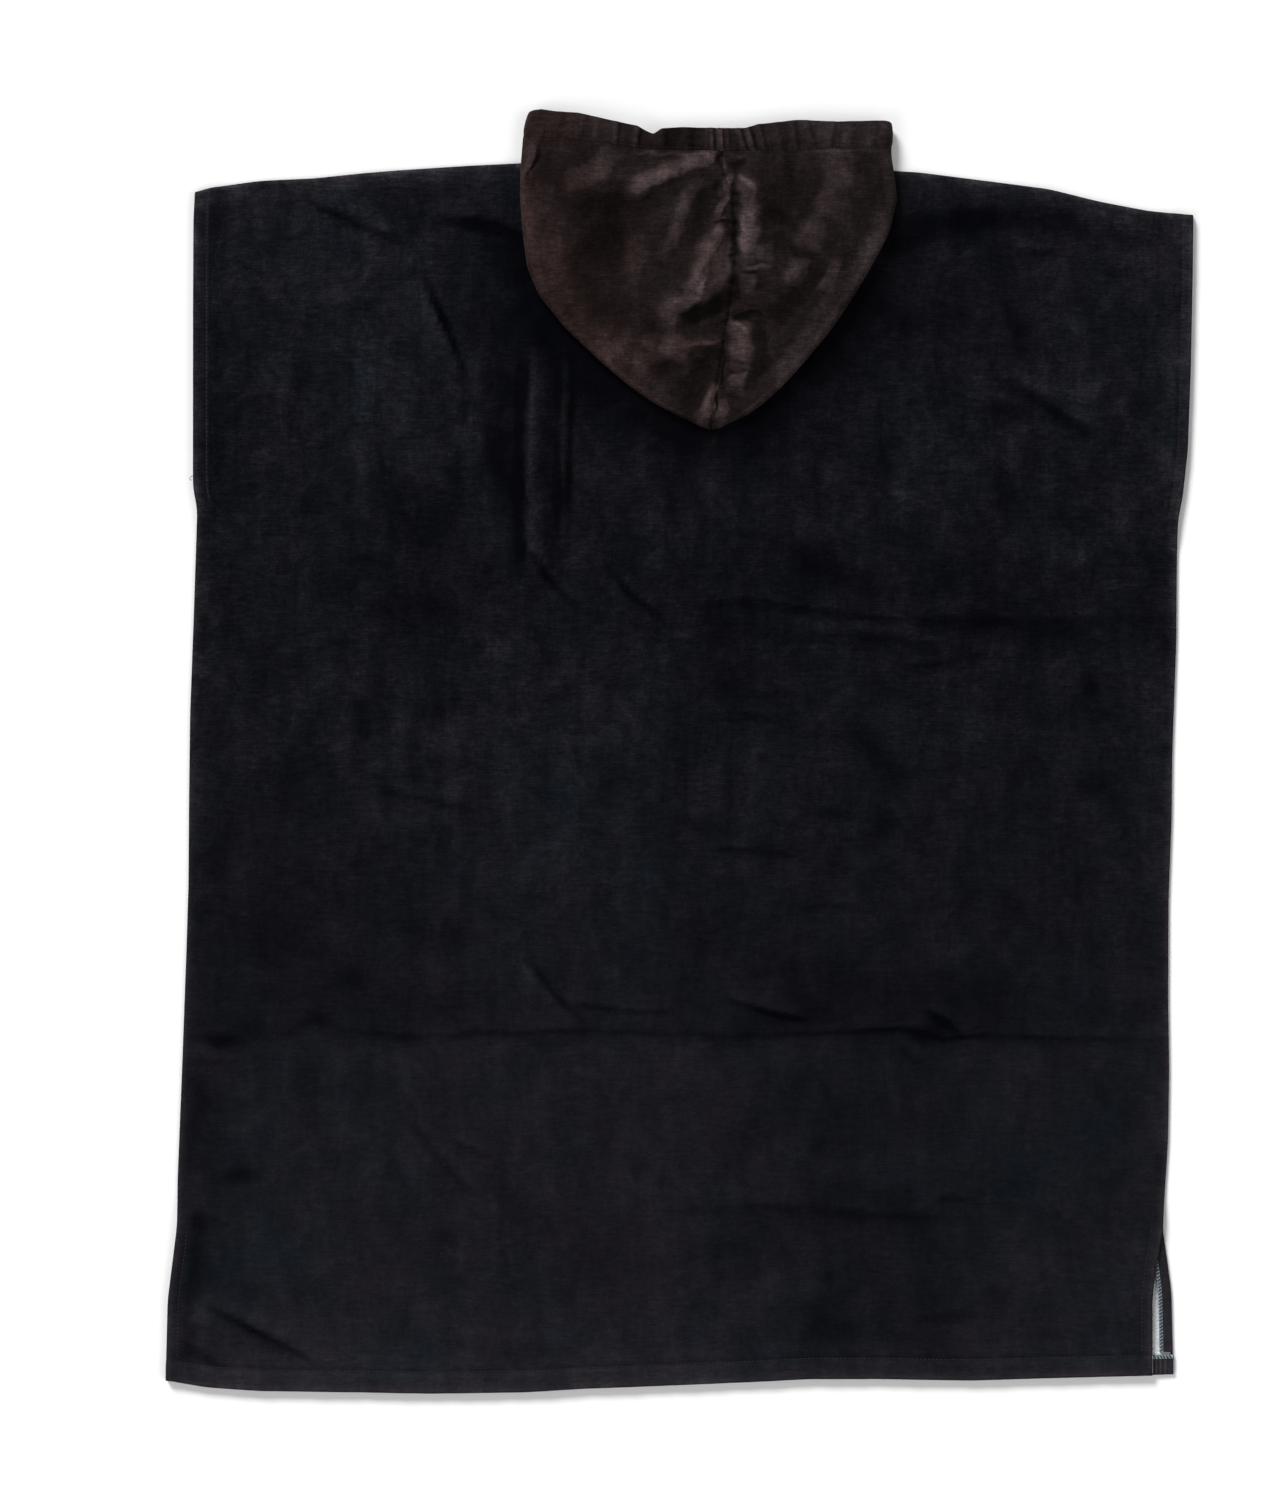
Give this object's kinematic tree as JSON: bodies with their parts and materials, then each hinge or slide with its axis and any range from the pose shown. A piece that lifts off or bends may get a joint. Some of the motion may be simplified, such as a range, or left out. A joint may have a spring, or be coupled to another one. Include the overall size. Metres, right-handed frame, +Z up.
{
  "type": "hooded bath poncho",
  "caption": "Hooded changing poncho of velour towelling laid flat with its back up, hood folded down onto the back, open armholes and side slits, hemmed bottom edge.",
  "frame": {"origin": "centre of the bounding box's bottom face, on the surface that the garment lies on", "axes": "+Y runs along the garment from its bottom hem to its hood, +X is to the right of the back as it lies, +Z is up out of the surface"},
  "size_m": [0.926, 1.1552, 0.0274],
  "materials": {
    "cloth_blue_black": "blue-black cotton velour towelling, matt, with a white looped reverse",
    "cloth_dark_brown": "very dark brown cotton velour towelling with a soft sheen, white looped reverse"
  },
  "bodies": {
    "root": {"back_panel": "cloth_blue_black", "front_panel": "cloth_blue_black", "back_hem": "cloth_blue_black", "front_hem": "cloth_blue_black", "back_armhole_hem_left": "cloth_blue_black", "back_armhole_hem_right": "cloth_blue_black", "front_armhole_hem_left": "cloth_blue_black", "front_armhole_hem_right": "cloth_blue_black", "back_slit_turn_left": "cloth_blue_black", "back_slit_turn_right": "cloth_blue_black", "front_slit_turn_left": "cloth_blue_black", "front_slit_turn_right": "cloth_blue_black", "hood_left": "cloth_dark_brown", "hood_right": "cloth_dark_brown", "hood_casing_left": "cloth_dark_brown", "hood_casing_right": "cloth_dark_brown"}
  },
  "joints": []
}
